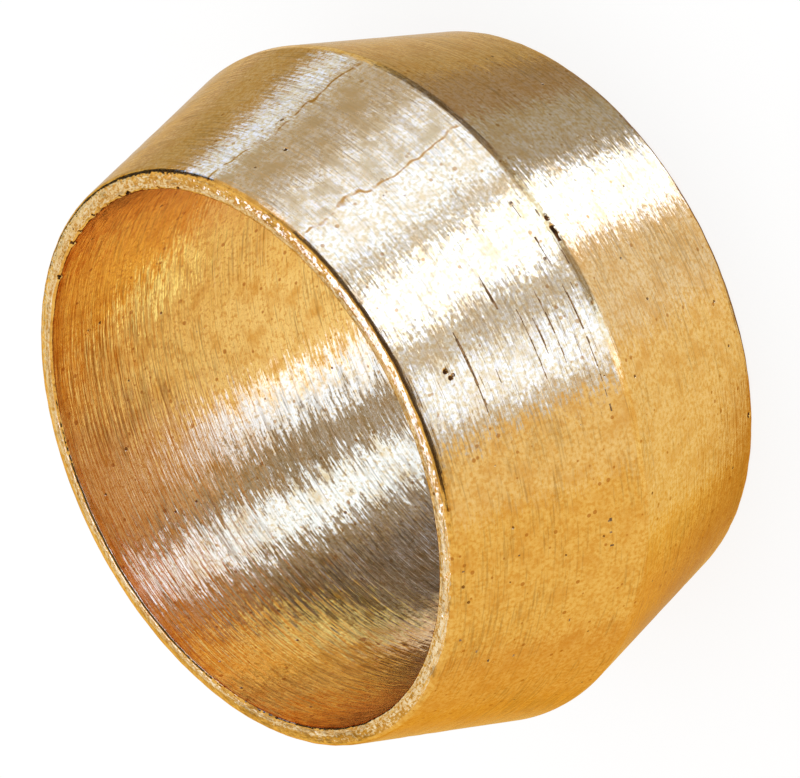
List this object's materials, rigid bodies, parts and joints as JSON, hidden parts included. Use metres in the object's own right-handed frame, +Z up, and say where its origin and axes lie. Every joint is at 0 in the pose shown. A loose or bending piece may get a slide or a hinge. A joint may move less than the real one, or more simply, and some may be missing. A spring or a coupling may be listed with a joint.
{
  "type": "compression olive",
  "caption": "Turned brass compression olive: a short ring with a plain bore for a tube and two outer cones that meet in a ridge.",
  "frame": {"origin": "centre of the bore in the plane of the lower end face, which the ring stands on", "axes": "+Z up along the bore's axis; the ring is the same all round it, and the same either way up"},
  "size_m": [0.0128, 0.0128, 0.0073],
  "materials": {
    "brass": "bright turned brass with fine tool marks"
  },
  "bodies": {
    "root": {"olive": "brass"}
  },
  "joints": []
}
